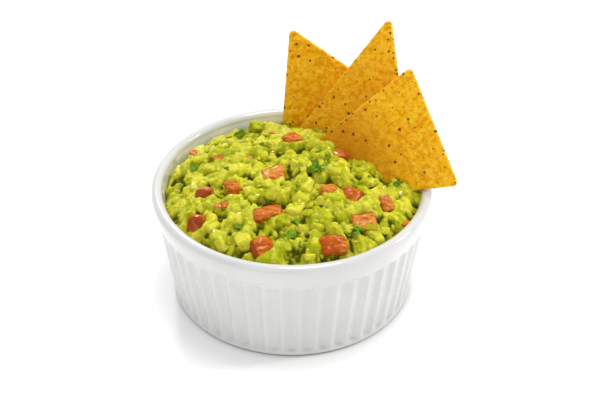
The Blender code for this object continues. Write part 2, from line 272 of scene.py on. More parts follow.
def grid_faces(rows, columns, wrap=True):
    """Quads over a grid of points stored row by row, joined round each row if wrap is true."""
    row, column = np.meshgrid(np.arange(rows - 1), np.arange(columns if wrap else columns - 1), indexing="ij")
    ahead = (column + 1) % columns
    low, high = row * columns, (row + 1) * columns
    return np.stack([low + column, low + ahead, high + ahead, high + column], axis=-1).reshape(-1, 4)


def fan(centre, ring, facing):
    """Triangles from one point to a closed ring, turned over where facing is negative."""
    ahead = np.roll(ring, -1)
    triangles = np.stack([np.full(len(ring), centre), ring, ahead], axis=1)
    return triangles if facing > 0 else triangles[:, ::-1]


def closed_rows(rows, columns):
    """Faces over rows of points joined round, whose end rows are closed by the two points after them."""
    first, last = np.arange(columns), (rows - 1) * columns + np.arange(columns)
    return [grid_faces(rows, columns), fan(rows * columns, first, -1), fan(rows * columns + 1, last, 1)]


def halved(quads):
    """Each quad as two triangles."""
    return [quads[:, [0, 1, 2]], quads[:, [0, 2, 3]]]


def cube_net(divisions):
    """A cube's surface from -1 to 1 as points and outward quads, with the seams between its sides closed.

    Each side is a grid of two parameters, and points that two sides share are merged by their whole-number
    place.
    """
    steps = np.arange(divisions + 1)
    first, second = (axis.ravel() for axis in np.meshgrid(steps, steps, indexing="ij"))
    places, quads = [], []
    side = grid_faces(divisions + 1, divisions + 1, wrap=False)
    for axis in range(3):
        for end in (0, divisions):
            place = np.empty((len(first), 3), int)
            place[:, axis] = end
            place[:, (axis + 1) % 3] = first
            place[:, (axis + 2) % 3] = second
            quads.append((side[:, ::-1] if end else side) + len(places) * len(first))
            places.append(place)
    unique, index = np.unique(np.concatenate(places), axis=0, return_inverse=True)
    return unique * 2.0 / divisions - 1.0, index.ravel()[np.concatenate(quads)]


def rounded_boxes(net, halves, rounding):
    """Rounded boxes from a cube's net: each point goes to the inner box's nearest place plus a ball's radius.

    halves is one row of half edge lengths for each box, and rounding is the ball's radius as a share of the
    least one.
    """
    halves = halves[:, None, :]
    radius = rounding[:, None, None] * halves.min(axis=2, keepdims=True)
    reach = net[None] * halves
    inner = np.clip(reach, radius - halves, halves - radius)
    out = reach - inner
    return inner + radius * out / np.maximum(np.linalg.norm(out, axis=2, keepdims=True), 1e-9)


def unit_vectors(vectors):
    """The vectors along the last axis, each at a length of 1."""
    return vectors / np.linalg.norm(vectors, axis=-1, keepdims=True)


def waves(points, rng, count, length):
    """Smooth noise from -1 to 1: the mean of sine waves in random directions, drawn for each shape."""
    directions = unit_vectors(rng.normal(size=(count, WAVES_EACH, 3))) * 2.0 * math.pi / length
    phases = rng.uniform(0.0, 2.0 * math.pi, (count, 1, WAVES_EACH))
    return np.sin(points @ directions.transpose(0, 2, 1) + phases).mean(axis=2)


def turns(rng, count, lean=math.pi):
    """Random rotation matrices: any heading and roll, with the local Z axis up to lean away from upright."""
    heading, tilt, roll = rng.uniform(0.0, 1.0, (3, count))
    heading, tilt, roll = heading * 2.0 * math.pi, tilt * lean, roll * 2.0 * math.pi
    zero, one = np.zeros(count), np.ones(count)

    def about_z(angle):
        c, s = np.cos(angle), np.sin(angle)
        return np.stack([c, -s, zero, s, c, zero, zero, zero, one], axis=1).reshape(-1, 3, 3)

    c, s = np.cos(tilt), np.sin(tilt)
    about_x = np.stack([one, zero, zero, zero, c, -s, zero, s, c], axis=1).reshape(-1, 3, 3)
    return about_z(heading) @ about_x @ about_z(roll)


def joined(shapes, faces):
    """Many copies of one net as a single mesh: points of all the shapes and their faces."""
    count, size = shapes.shape[:2]
    copies = faces[None] + (np.arange(count) * size)[:, None, None]
    return shapes.reshape(-1, 3), copies.reshape(-1, faces.shape[1])


# ---------------------------------------------------------------- the heap's relief

FIELD_HALF = 57.0
FIELD_STEP = 0.25
FIELD_AXIS = np.arange(-FIELD_HALF, FIELD_HALF + FIELD_STEP, FIELD_STEP)
SHAKE = 0.42


def inner_radius(height):
    """The ramekin's inner wall, which narrows towards the floor and opens a little under the lip."""
    lip = np.clip((height - INNER_TOP) / (BOWL_HEIGHT - LIP_RADIUS - INNER_TOP), 0.0, 1.0)
    opened = RIM_RADIUS - 2.0 * LIP_RADIUS - INNER_RADIUS
    return INNER_RADIUS - np.maximum(INNER_TOP - height, 0.0) * INNER_SLOPE + opened * lip


def heap_height(x, y):
    """The guacamole's smooth level: a slanting edge with a parabolic dome on it."""
    edge = EDGE_LEVEL - EDGE_TILT * np.cos(np.arctan2(y, x) - LOW_SIDE)
    return edge + (HEAP_TOP - edge) * (1.0 - np.minimum(np.hypot(x, y) / INNER_RADIUS, 1.0) ** 2)


def blurred(field, radius):
    """A square field smoothed by a Gaussian of this radius in millimetres, through its spectrum."""
    frequency = np.fft.fftfreq(len(field), FIELD_STEP)
    spread = np.exp(-2.0 * (math.pi * radius) ** 2 * (frequency[:, None] ** 2 + frequency[None] ** 2))
    return np.fft.ifft2(np.fft.fft2(field) * spread).real


def noise_field(rng, size, radius):
    """Smooth noise with a mean of 0 and a spread of 1: random numbers blurred by a Gaussian."""
    field = blurred(rng.normal(size=(size, size)), radius)
    return (field - field.mean()) / field.std()


def shaken_lattice(rng, pitch, radius):
    """Places on a triangular lattice inside a circle, each moved at random by a share of the pitch."""
    steps = np.arange(-int(radius / pitch) - 2, int(radius / pitch) + 3)
    row, column = np.meshgrid(steps, steps, indexing="ij")
    places = np.stack([(column + 0.5 * (row % 2)) * pitch, row * pitch * math.sqrt(3.0) / 2.0], axis=-1)
    places = places.reshape(-1, 2) + rng.uniform(-SHAKE, SHAKE, (places.size // 2, 2)) * pitch
    return places[np.hypot(*places.T) < radius]


def raise_lumps(field, tone, rng, lumps):
    """Raises one size of lumps out of a field where they stand higher than it, and writes each lump's tone.

    A lump is a dome with a slanting top, rise * ((1 - d ** 3) ** 0.5 - 0.35) over the ground's mean. d is the
    distance to its centre as a share of its radius, measured by a power between round and square.
    """
    centres = shaken_lattice(rng, lumps.pitch, INNER_RADIUS)
    count = len(centres)
    size = rng.uniform(*lumps.radii, (count, 2))
    heights = rng.uniform(*lumps.rise, count)
    power = rng.uniform(*lumps.squareness, count)
    angle = rng.uniform(0.0, math.pi, count)
    slants = rng.normal(0.0, lumps.slant, (count, 2))
    tones = rng.uniform(0.0, 1.0, count)
    ground = field.copy()
    for i in range(count):
        reach = size[i].max() * 1.2
        columns, rows = (slice(*np.searchsorted(FIELD_AXIS, (c - reach, c + reach))) for c in centres[i])
        x, y = np.meshgrid(FIELD_AXIS[columns] - centres[i, 0], FIELD_AXIS[rows] - centres[i, 1])
        c, s = math.cos(angle[i]), math.sin(angle[i])
        u, v = (c * x + s * y) / size[i, 0], (c * y - s * x) / size[i, 1]
        distance = (np.abs(u) ** power[i] + np.abs(v) ** power[i]) ** (1.0 / power[i])
        inside = distance < 1.0
        dome = np.sqrt(np.clip(1.0 - distance ** 3, 0.0, None))
        base = ground[rows, columns][inside].mean() if inside.any() else 0.0
        top = base + heights[i] * (dome - 0.35) + slants[i, 0] * u + slants[i, 1] * v
        window = field[rows, columns]
        wins = inside & (top > window)
        window[wins] = top[wins]
        tone[rows, columns][wins] = tones[i]


def dice_places():
    """The centre of each tomato piece from the frame, and half its longest edge."""
    return [(sum(box_mm(die.node)) / 2.0, max(die.size) / 2.0) for die in DICE]


class Heap:
    """The lumpy top of the guacamole as square fields over x and y: height, tone, and painted shade, which
    grows down in the hollows and towards the rim.
    """

    def __init__(self, seed):
        rng = np.random.default_rng(seed)
        x, y = np.meshgrid(FIELD_AXIS, FIELD_AXIS)
        from_middle = np.hypot(x, y)
        size = len(FIELD_AXIS)
        tone = np.full((size, size), 0.35)
        relief = noise_field(rng, size, 5.0)
        for lumps in LUMPS:
            raise_lumps(relief, tone, rng, lumps)
            relief = blurred(relief, lumps.blur)
        relief = relief + 0.16 * noise_field(rng, size, 0.6)
        # The level that 65 in 100 places lie under comes 1.4 mm over the dome, and the hollows are deepened.
        relief -= np.percentile(relief[from_middle < INNER_RADIUS], 65.0) - 1.4
        relief = np.where(relief < 1.0, 1.0 + (relief - 1.0) * 1.8, relief)
        for place_x, place_y, reach, rise in EXTRA_HEAPS:
            relief += rise * np.exp(-((x - place_x) ** 2 + (y - place_y) ** 2) / reach ** 2)
        # The lumps are lowered round the dice, a little further on their front side.
        for centre, half in dice_places():
            away = np.hypot(x - centre[0], y - centre[1] + 1.2) / (half * 0.82 + 0.3)
            relief -= np.exp(-away ** 4) * np.maximum(relief - 0.2, 0.0)
        edge = np.clip((from_middle - INNER_RADIUS + 4.0) / 4.0, 0.0, 1.0)
        relief -= edge ** 2 * (1.1 + 0.9 * noise_field(rng, size, 2.2))
        self.height = heap_height(x, y) + relief
        self.tone = blurred(tone, 0.25)
        # Painted shade: how far each place lies under the blurred relief, down in the hollows, plus more
        # towards the bowl's rim.
        self.painted_shade = blurred(relief, 2.2) - relief + 0.5 * np.clip((from_middle - 38.0) / 14.0, 0.0, 1.0)

    def sample(self, field, x, y):
        """A field read between its points, by straight lines both ways."""
        last = len(FIELD_AXIS) - 1.001
        row, column = (np.clip((np.asarray(at) + FIELD_HALF) / FIELD_STEP, 0.0, last) for at in (y, x))
        i, j = row.astype(int), column.astype(int)
        a, b = row - i, column - j
        return ((1 - a) * (1 - b) * field[i, j] + (1 - a) * b * field[i, j + 1]
                + a * (1 - b) * field[i + 1, j] + a * b * field[i + 1, j + 1])

    def on_top(self, flat):
        """Places on the lumpy top from rows of x and y."""
        return np.column_stack([flat, self.sample(self.height, *flat.T)])


@lru_cache(maxsize=1)
def lumpy_heap(seed):
    """The heap for a seed, which every piece on it shares."""
    return Heap(seed)


# ---------------------------------------------------------------- materials

def add_node(tree, kind, values=None, **settings):
    """A shader node with its settings, and each input either set to a value or linked from a socket."""
    node = tree.nodes.new(kind)
    node.location = (180.0 * (len(tree.nodes) % 12), -240.0 * (len(tree.nodes) // 12))
    for key, value in settings.items():
        setattr(node, key, value)
    for key, value in (values or {}).items():
        if isinstance(value, bpy.types.NodeSocket):
            tree.links.new(value, node.inputs[key])
        else:
            node.inputs[key].default_value = value
    return node


def colour(value):
    """A colour with full opacity."""
    return (*value, 1.0)


def mix(tree, factor, first, second):
    """The mixed colour of two colours or colour sockets."""
    return add_node(tree, "ShaderNodeMix", {0: factor, 6: first, 7: second}, data_type="RGBA").outputs[2]


def maths(tree, operation, first, second):
    """Two values joined by a Math node."""
    return add_node(tree, "ShaderNodeMath", {0: first, 1: second}, operation=operation).outputs[0]


def ramp(tree, factor, low, high):
    """A value that eases from 0 to 1 as the factor goes from low to high, which may be the lower one."""
    flipped = high < low
    node = add_node(tree, "ShaderNodeMapRange", {
        "Value": factor, "From Min": min(low, high), "From Max": max(low, high),
        "To Min": float(flipped), "To Max": float(not flipped)}, interpolation_type="SMOOTHSTEP")
    return node.outputs["Result"]


def span(tree, factor, low, high):
    """A factor from 0 to 1 carried over to the range from low to high."""
    node = add_node(tree, "ShaderNodeMapRange", {"Value": factor, "To Min": low, "To Max": high})
    return node.outputs["Result"]


def laid_over(tree, base, mask, share, top):
    """A colour or colour socket with a share of another colour laid over it where the mask is."""
    return mix(tree, maths(tree, "MULTIPLY", mask, share), base, colour(top))


def noise(tree, vector, scale, detail=3.0, roughness=0.55):
    """Cloudy noise from 0 to 1."""
    return add_node(tree, "ShaderNodeTexNoise", {
        "Vector": vector, "Scale": scale, "Detail": detail, "Roughness": roughness}).outputs["Fac"]


def new_group(name, inputs, outputs):
    """An empty shader node group with its sockets, and its input and output nodes."""
    group = bpy.data.node_groups.new(name, "ShaderNodeTree")
    for label, kind, default in inputs:
        socket = group.interface.new_socket(label, in_out="INPUT", socket_type=kind)
        if default is not None:
            socket.default_value = default
    for label, kind in outputs:
        group.interface.new_socket(label, in_out="OUTPUT", socket_type=kind)
    return group, group.nodes.new("NodeGroupInput"), group.nodes.new("NodeGroupOutput")


def speck_group():
    """Small round marks scattered on a flat sheet: the cells of a Voronoi pattern, a share of them marked."""
    group, given, result = new_group(
        "Scattered specks",
        (("Vector", "NodeSocketVector", None), ("Scale", "NodeSocketFloat", 120.0),
         ("Share", "NodeSocketFloat", 0.3), ("Size", "NodeSocketFloat", 0.2)),
        (("Mask", "NodeSocketFloat"),))
    cells = add_node(group, "ShaderNodeTexVoronoi", {
        "Vector": given.outputs["Vector"], "Scale": given.outputs["Scale"]}, voronoi_dimensions="2D")
    chosen = add_node(group, "ShaderNodeSeparateColor", {0: cells.outputs["Color"]})
    present = maths(group, "LESS_THAN", chosen.outputs[0], given.outputs["Share"])
    varied = maths(group, "MULTIPLY", given.outputs["Size"], maths(group, "ADD", chosen.outputs[1], 0.45))
    inside = maths(group, "DIVIDE", cells.outputs["Distance"], varied)
    mark = ramp(group, inside, 1.0, 0.6)
    group.links.new(maths(group, "MULTIPLY", mark, present), result.inputs["Mask"])
    return group


def mottle_group():
    """Cloudy and fine variation of tone at one scale, each as a mask from 0 to 1, and a height for a bump."""
    group, given, result = new_group(
        "Uneven tone",
        (("Vector", "NodeSocketVector", None), ("Scale", "NodeSocketFloat", 200.0)),
        (("Clouds", "NodeSocketFloat"), ("Grain", "NodeSocketFloat"), ("Height", "NodeSocketFloat")))
    clouds = noise(group, given.outputs["Vector"], given.outputs["Scale"], 4.0, 0.6)
    fine_scale = maths(group, "MULTIPLY", given.outputs["Scale"], 5.0)
    grain = noise(group, given.outputs["Vector"], fine_scale, 3.0, 0.6)
    group.links.new(ramp(group, clouds, 0.36, 0.64), result.inputs["Clouds"])
    group.links.new(ramp(group, grain, 0.32, 0.68), result.inputs["Grain"])
    height = maths(group, "ADD", clouds, maths(group, "MULTIPLY", grain, 0.5))
    group.links.new(height, result.inputs["Height"])
    return group


def place_group(tree, build, values):
    """The outputs of a shared node group, which is built the first time that it is asked for."""
    name = {speck_group: "Scattered specks", mottle_group: "Uneven tone"}[build]
    group = bpy.data.node_groups.get(name) or build()
    return add_node(tree, "ShaderNodeGroup", values, node_tree=group).outputs


def start_material(name, constants):
    """A new material: its tree, its Principled shader with plain values set, and its Object coordinates."""
    material = bpy.data.materials.new(name)
    material.use_nodes = True
    tree = material.node_tree
    shader = tree.nodes["Principled BSDF"]
    for key, value in constants.items():
        shader.inputs[key].default_value = value
    place = add_node(tree, "ShaderNodeTexCoord").outputs["Object"]
    return material, tree, shader, place


def attribute(tree, name, output="Fac"):
    """A number, or with another output a vector, that the mesh holds for each point."""
    return add_node(tree, "ShaderNodeAttribute", attribute_name=name).outputs[output]


def feed(tree, shader, values):
    """Links sockets into a shader's inputs."""
    for key, value in values.items():
        tree.links.new(value, shader.inputs[key])


def bump(tree, shader, height, distance, strength):
    """Turns a height into a small unevenness of a shader's surface."""
    node = add_node(tree, "ShaderNodeBump", {"Height": height, "Distance": distance, "Strength": strength})
    feed(tree, shader, {"Normal": node.outputs["Normal"]})


def glaze_material(settings):
    """White glazed porcelain: glossy and even with faint greyer clouds, unglazed and rougher at the foot,
    where a near-black band is painted contact shadow.
    """
    material, tree, shader, place = start_material("white_glaze", {
        "Coat Weight": 0.35, "Coat Roughness": 0.04, "IOR": 1.5})
    tone = place_group(tree, mottle_group, {"Vector": place, "Scale": 45.0})
    pooled = tuple(0.965 * c for c in settings.glaze)
    base = mix(tree, tone["Clouds"], colour(settings.glaze), colour(pooled))
    height = add_node(tree, "ShaderNodeSeparateXYZ", {0: place}).outputs["Z"]
    # The lowest 1.5 mm are rougher and coloured near-black as a painted contact shadow.
    bare_foot_and_shadow = ramp(tree, height, 1.5 * MM, 1.0 * MM)
    base = mix(tree, bare_foot_and_shadow, base, colour(settings.bare_foot_and_shadow))
    feed(tree, shader, {"Base Color": base, "Roughness": span(tree, bare_foot_and_shadow, 0.1, 0.6)})
    bump(tree, shader, tone["Height"], 0.06 * MM, 0.5)
    return material


def avocado_material(name, settings, lift):
    """Crushed avocado: pale and green flesh by lump, with painted shade in the hollows, near the rim and
    under the pieces, and fine wet grain.

    lift moves all of it towards the pale flesh.
    """
    material, tree, shader, place = start_material(name, {
        "Coat Roughness": 0.04, "Coat IOR": 1.4, "IOR": 1.15, "Subsurface Weight": 0.42,
        "Subsurface Radius": (1.0, 0.9, 0.1), "Subsurface Scale": 1.8 * MM})
    tone = place_group(tree, mottle_group, {"Vector": place, "Scale": 240.0})
    broad = maths(tree, "SUBTRACT", noise(tree, place, 60.0, 2.0), 0.5)
    ripe = maths(tree, "ADD", attribute(tree, "tone"), maths(tree, "MULTIPLY", broad, 1.2))
    ripe = ramp(tree, maths(tree, "ADD", ripe, lift), 0.1, 0.95)
    base = mix(tree, ripe, colour(settings.fresh), colour(settings.pale))
    base = laid_over(tree, base, ramp(tree, tone["Clouds"], 0.5, 1.0), 0.35, settings.pale)
    base = laid_over(tree, base, ramp(tree, tone["Grain"], 0.55, 1.0), 0.25, settings.dark_grain_and_shade)
    # Painted shade: the mash is darkened in the hollows, near the rim and under the pieces, where it also has
    # less wet film.
    sunk = ramp(tree, attribute(tree, "painted_shade"), -0.2, 1.6)
    base = laid_over(tree, base, sunk, 0.95, settings.dark_grain_and_shade)
    pools = ramp(tree, noise(tree, place, 420.0, 2.0), 0.46, 0.6)
    film = maths(tree, "MULTIPLY", span(tree, sunk, 0.9, 0.0), pools)
    feed(tree, shader, {
        "Base Color": base, "Coat Weight": film, "Roughness": span(tree, tone["Grain"], 0.1, 0.42)})
    pulp = maths(tree, "MULTIPLY", noise(tree, place, 560.0), 1.3)
    bump(tree, shader, maths(tree, "ADD", tone["Height"], pulp), 0.7 * MM, 0.8)
    return material


def tomato_material(settings, guacamole, die):
    """Diced tomato: skin on one side, streaky flesh with painted shade that darkens its lower part towards
    the mash, and a smear of mash.
    """
    material, tree, shader, place = start_material(f"{die.node}_flesh", {
        "Coat Weight": 0.7, "Coat Roughness": 0.03, "Coat IOR": 1.4, "IOR": 1.1, "Subsurface Weight": 0.08,
        "Subsurface Radius": (1.0, 0.2, 0.03), "Subsurface Scale": 1.2 * MM})
    tone = place_group(tree, mottle_group, {"Vector": place, "Scale": 330.0})
    along = add_node(tree, "ShaderNodeMapping", {
        "Vector": place, "Rotation": (0.4, 0.3, math.radians(die.turn)), "Scale": (0.35, 1.6, 1.0)})
    streaks = noise(tree, along.outputs["Vector"], 620.0, 3.0, 0.6)
    low = attribute(tree, "low")
    base = mix(tree, die.redness, colour(settings.faded), colour(settings.flesh))
    # The third layer is painted shade: the lower part of each piece is darkened towards the skin's colour.
    for mask, share, top in ((ramp(tree, streaks, 0.5, 0.68), 0.85, settings.faded),
                             (ramp(tree, streaks, 0.5, 0.34), 0.8, settings.skin),
                             (ramp(tree, low, 0.25, 0.85), 0.8, settings.skin),
                             (attribute(tree, "skin"), 1.0, settings.skin)):
        base = laid_over(tree, base, mask, share, top)
    reach = maths(tree, "ADD", noise(tree, place, 260.0), maths(tree, "MULTIPLY", low, 0.35))
    smear = ramp(tree, reach, 0.84 - 0.42 * die.smear, 0.9 - 0.3 * die.smear)
    base = mix(tree, smear, base, colour(guacamole.fresh))
    feed(tree, shader, {"Base Color": base, "Roughness": span(tree, tone["Grain"], 0.12, 0.32)})
    bump(tree, shader, maths(tree, "ADD", streaks, tone["Height"]), 0.7 * MM, 0.6)
    return material


def herb_material(name, settings):
    """Chopped coriander: each scrap in its own tone from leaf to stalk, clouded with the stalk's, and wet."""
    material, tree, shader, place = start_material(name, {
        "Roughness": 0.4, "Coat Weight": 0.1, "Coat Roughness": 0.06, "Coat IOR": 1.35, "IOR": 1.1})
    tone = place_group(tree, mottle_group, {"Vector": place, "Scale": 420.0})
    base = mix(tree, attribute(tree, "tone"), colour(settings.leaf), colour(settings.stalk))
    base = laid_over(tree, base, tone["Clouds"], 0.4, settings.stalk)
    feed(tree, shader, {"Base Color": base})
    bump(tree, shader, tone["Height"], 0.2 * MM, 0.6)
    return material


def corn_material(settings):
    """Fried corn: golden, blotched brown and pale, with painted shade towards the foot, pale on blisters, and
    a painted highlight along the rim.

    Burnt specks are scattered on it, and stand closer together along its edge.
    """
    material, tree, shader, place = start_material("fried_corn_chip", {
        "IOR": 1.25, "Subsurface Weight": 0.25,
        "Subsurface Radius": (1.0, 0.5, 0.03), "Subsurface Scale": 1.5 * MM})
    tone = place_group(tree, mottle_group, {"Vector": place, "Scale": 300.0})
    patches = ramp(tree, noise(tree, place, 210.0, 4.0, 0.65), 0.44, 0.66)
    base = laid_over(tree, colour(settings.golden), patches, 0.35, settings.toasted)
    blister = maths(tree, "MULTIPLY", ramp(tree, attribute(tree, "blister"), 0.1, 0.9), 0.3)
    # Painted highlight: the band within 0.9 mm of the edge turns pale, as if the rim caught the light.
    rim = maths(tree, "MULTIPLY", attribute(tree, "rim"), 0.9)
    base = mix(tree, maths(tree, "MAXIMUM", blister, rim), base, colour(settings.pale))
    blotches = noise(tree, place, 430.0, 3.0, 0.6)
    grit = noise(tree, place, 1100.0, 3.0, 0.65)
    sheet = attribute(tree, "sheet", "Vector")

    def specks(scale, share, size):
        values = {"Vector": sheet, "Scale": scale, "Share": share, "Size": size}
        return place_group(tree, speck_group, values)["Mask"]

    near_edge = ramp(tree, attribute(tree, "edge"), 1.3, 0.9)
    along_edge = maths(tree, "MULTIPLY", specks(290.0, 0.75, 0.15), near_edge)
    burnt = maths(tree, "MAXIMUM", specks(150.0, 0.62, 0.09), along_edge)
    # Layers: toasted and pale blotches, toasted grit, painted shade towards the foot, and burnt specks.
    for mask, share, top in ((ramp(tree, blotches, 0.48, 0.64), 0.85, settings.toasted),
                             (ramp(tree, blotches, 0.5, 0.34), 0.9, settings.pale),
                             (ramp(tree, grit, 0.48, 0.62), 0.45, settings.toasted),
                             (attribute(tree, "browned"), 0.8, settings.browned),
                             (specks(310.0, 0.22, 0.085), 0.55, settings.char),
                             (burnt, 0.9, settings.char)):
        base = laid_over(tree, base, mask, share, top)
    feed(tree, shader, {"Base Color": base, "Roughness": span(tree, tone["Grain"], 0.38, 0.7)})
    rough = maths(tree, "ADD", tone["Height"], maths(tree, "MULTIPLY", grit, 0.35))
    bump(tree, shader, maths(tree, "SUBTRACT", rough, maths(tree, "MULTIPLY", burnt, 0.5)), 0.6 * MM, 0.9)
    return material


def floor_material():
    """Plain white studio floor, a light table that glows a little."""
    material, tree, shader, place = start_material("studio_floor", {
        "Roughness": 0.9, "Emission Color": colour((1.0, 1.0, 1.0)), "Emission Strength": 0.16})
    tone = place_group(tree, mottle_group, {"Vector": place, "Scale": 3.0})
    base = mix(tree, tone["Clouds"], colour((0.93, 0.93, 0.93)), colour((0.94, 0.94, 0.94)))
    feed(tree, shader, {"Base Color": base})
    return material


# ---------------------------------------------------------------- ramekin

COLUMNS_PER_FLUTE = 14


def arc(centre_radius, centre_height, radius, start, end, count):
    """Points of a circle in the profile's plane from one angle to another, in degrees from outward."""
    angle = np.radians(np.linspace(start, end, count))
    return np.stack([centre_radius + radius * np.cos(angle), centre_height + radius * np.sin(angle)], axis=1)


def line(start, end, count):
    """Evenly spaced points between two places, both of them left out."""
    share = np.linspace(0.0, 1.0, count + 2)[1:-1, None]
    return np.array(start) * (1.0 - share) + np.array(end) * share


def smooth(share):
    """A share from 0 to 1 that starts and ends level: 3 s ** 2 - 2 s ** 3."""
    return share * share * (3.0 - 2.0 * share)


def eased(start, end, count):
    """Points from one place to another that leave and arrive upright, in an S."""
    share = np.linspace(0.0, 1.0, count)[:, None]
    across = smooth(share)
    return np.array(start) + np.hstack([(end[0] - start[0]) * across, (end[1] - start[1]) * share])


def wall_radius(height):
    """The outer wall's straight taper, measured over the ridges."""
    return FOOT_RADIUS + (height - FOOT_LINE) / (FLUTE_TOP - FOOT_LINE) * (FLUTE_TOP_RADIUS - FOOT_RADIUS)


def ramekin_profile():
    """Radius and height from the underside's middle, up the outer wall, over the lip, down to the floor."""
    foot = FOOT_ROUNDING
    lip_centre = RIM_RADIUS - LIP_RADIUS
    lip_height = BOWL_HEIGHT - LIP_RADIUS
    flute_end = (wall_radius(FLUTE_TOP), FLUTE_TOP)
    band_start = (flute_end[0] + BAND_STEP, FLUTE_TOP + BAND_RISE)
    fillet_height = FLOOR + FLOOR_FILLET
    fillet_centre = inner_radius(fillet_height) - FLOOR_FILLET
    parts = [
        line((0.0, 0.0), (FOOT_RADIUS - foot, 0.0), 8),
        arc(FOOT_RADIUS - foot, foot, foot, -90.0, 0.0, 5),
        line((FOOT_RADIUS, foot), (FOOT_RADIUS, FOOT_LINE), 2),
        line((FOOT_RADIUS, FOOT_LINE), flute_end, 60),
        eased(flute_end, band_start, 10),
        line(band_start, (RIM_RADIUS - BAND_INSET, BAND_TOP), 5),
        arc(lip_centre, lip_height, LIP_RADIUS, -4.0, 184.0, 22),
        line((RIM_RADIUS - 2.0 * LIP_RADIUS, lip_height), (INNER_RADIUS, INNER_TOP), 3),
        line((INNER_RADIUS, INNER_TOP), (inner_radius(fillet_height), fillet_height), 10),
        arc(fillet_centre, fillet_height, FLOOR_FILLET, 0.0, -90.0, 8),
        line((fillet_centre, FLOOR), (0.0, FLOOR), 6),
    ]
    return np.concatenate(parts)


def flute_depth(angle, height, settings):
    """How far the wall is pressed in at an angle and height.

    Across one flute a rounded ridge, exp(-(share across / width) ** 2), stands in a shallow groove, which
    fades out just over the foot line and under the band.
    """
    across = (angle - FLUTE_PHASE) * settings.flutes / (2.0 * math.pi)
    across = np.abs(across - np.round(across))
    ridge = np.exp(-(across / RIDGE_WIDTH) ** 2)
    low = np.clip((height - FOOT_LINE - FLUTE_START) / LOW_FADE, 0.0, 1.0)
    high = np.clip((FLUTE_TOP - height) / HIGH_FADE, 0.0, 1.0)
    return settings.flute_depth * (1.0 - ridge) * smooth(low) * smooth(high)


class DIP_OT_add_ramekin(bpy.types.Operator):
    """Adds the fluted ramekin, turned from its profile, with the flutes pressed in"""
    bl_idname = "dip.add_ramekin"
    bl_label = "Add Ramekin"

    def execute(self, context):
        settings = context.scene.ramekin_settings
        profile = ramekin_profile()
        rows, columns = len(profile), settings.flutes * COLUMNS_PER_FLUTE
        angle = np.arange(columns) * 2.0 * math.pi / columns
        radius, height = profile[:, :1], profile[:, 1:]
        outside = np.arange(rows)[:, None] < np.argmax(height)
        radius = radius - np.where(outside, flute_depth(angle[None], height, settings), 0.0)
        points = np.stack([radius * np.cos(angle), radius * np.sin(angle), height + 0.0 * radius], axis=-1)
        points = np.concatenate([points.reshape(-1, 3), [[0.0, 0.0, 0.0], [0.0, 0.0, FLOOR]]])
        add_piece("ramekin_glazed", points, closed_rows(rows, columns), glaze_material(settings),
                  ["ramekin"])
        return {"FINISHED"}


# ---------------------------------------------------------------- guacamole

MASH_DIVISIONS = 286
MASH_GAP = 0.1
PALER_PIECES = 0.18


def disc_grid(divisions):
    """A square grid laid over the unit disc with nearly equal cells.

    Each square ring of the grid becomes a circle: the larger of the two parameters is the radius, and the
    other one, as a share of it, turns through an eighth of a circle each way.
    """
    steps = np.linspace(-1.0, 1.0, divisions + 1)
    b, a = np.meshgrid(steps, steps, indexing="ij")
    wide = np.abs(a) > np.abs(b)
    radius = np.where(wide, a, b)
    safe = np.where(radius == 0.0, 1.0, radius)
    turn = math.pi / 4.0 * np.where(wide, b, a) / safe
    x = radius * np.where(wide, np.cos(turn), np.sin(turn))
    y = radius * np.where(wide, np.sin(turn), np.cos(turn))
    return np.stack([x.ravel(), y.ravel()], axis=1)


def border(divisions):
    """The indices of the points round the edge of a square grid, anticlockwise."""
    n = divisions + 1
    return np.concatenate([np.arange(divisions), np.arange(divisions) * n + divisions,
                           n * divisions + np.arange(divisions, 0, -1), np.arange(divisions, 0, -1) * n])


class DIP_OT_add_mash(bpy.types.Operator):
    """Adds the mashed core of the guacamole: a lumpy top on a solid that fills the bowl"""
    bl_idname = "dip.add_mash"
    bl_label = "Add Mash"

    def execute(self, context):
        settings = context.scene.guacamole_settings
        heap = lumpy_heap(settings.seed)
        reach = INNER_RADIUS - MASH_GAP
        flat = disc_grid(MASH_DIVISIONS) * reach
        top = heap.sample(heap.height, *flat.T)
        ring = border(MASH_DIVISIONS)
        flat[ring] *= ((inner_radius(top[ring]) - MASH_GAP / 2.0) / reach)[:, None]
        # Under the top's edge the mash follows the bowl down, in round the floor's fillet, to one point.
        points = [np.column_stack([flat, top])]
        direction = unit_vectors(flat[ring])
        fillet_height = FLOOR + FLOOR_FILLET
        fillet_radius = inner_radius(fillet_height)
        for height, radius in ((fillet_height, fillet_radius - MASH_GAP),
                               (FLOOR + MASH_GAP, fillet_radius - FLOOR_FILLET)):
            points.append(np.column_stack([direction * radius, np.full(len(ring), height)]))
        points.append([[0.0, 0.0, FLOOR + MASH_GAP]])
        count, base = len(ring), len(flat)
        levels = [ring, base + np.arange(count), base + count + np.arange(count)]
        faces = [grid_faces(MASH_DIVISIONS + 1, MASH_DIVISIONS + 1, wrap=False)]
        for upper, lower in zip(levels, levels[1:]):
            faces.append(np.stack([upper, lower, np.roll(lower, -1), np.roll(upper, -1)], axis=1))
        faces.append(fan(base + 2 * count, levels[2], -1))
        # Under the top's edge the points get a middling tone and full painted shade.
        below = np.ones(2 * count + 1)
        tone = np.concatenate([heap.sample(heap.tone, *flat.T), 0.3 * below])
        painted_shade = np.concatenate([heap.sample(heap.painted_shade, *flat.T), below])
        add_piece("guacamole_mash", np.concatenate(points), faces,
                  avocado_material("crushed_avocado", settings, 0.0), ["guacamole"],
                  {"tone": tone, "painted_shade": painted_shade})
        return {"FINISHED"}


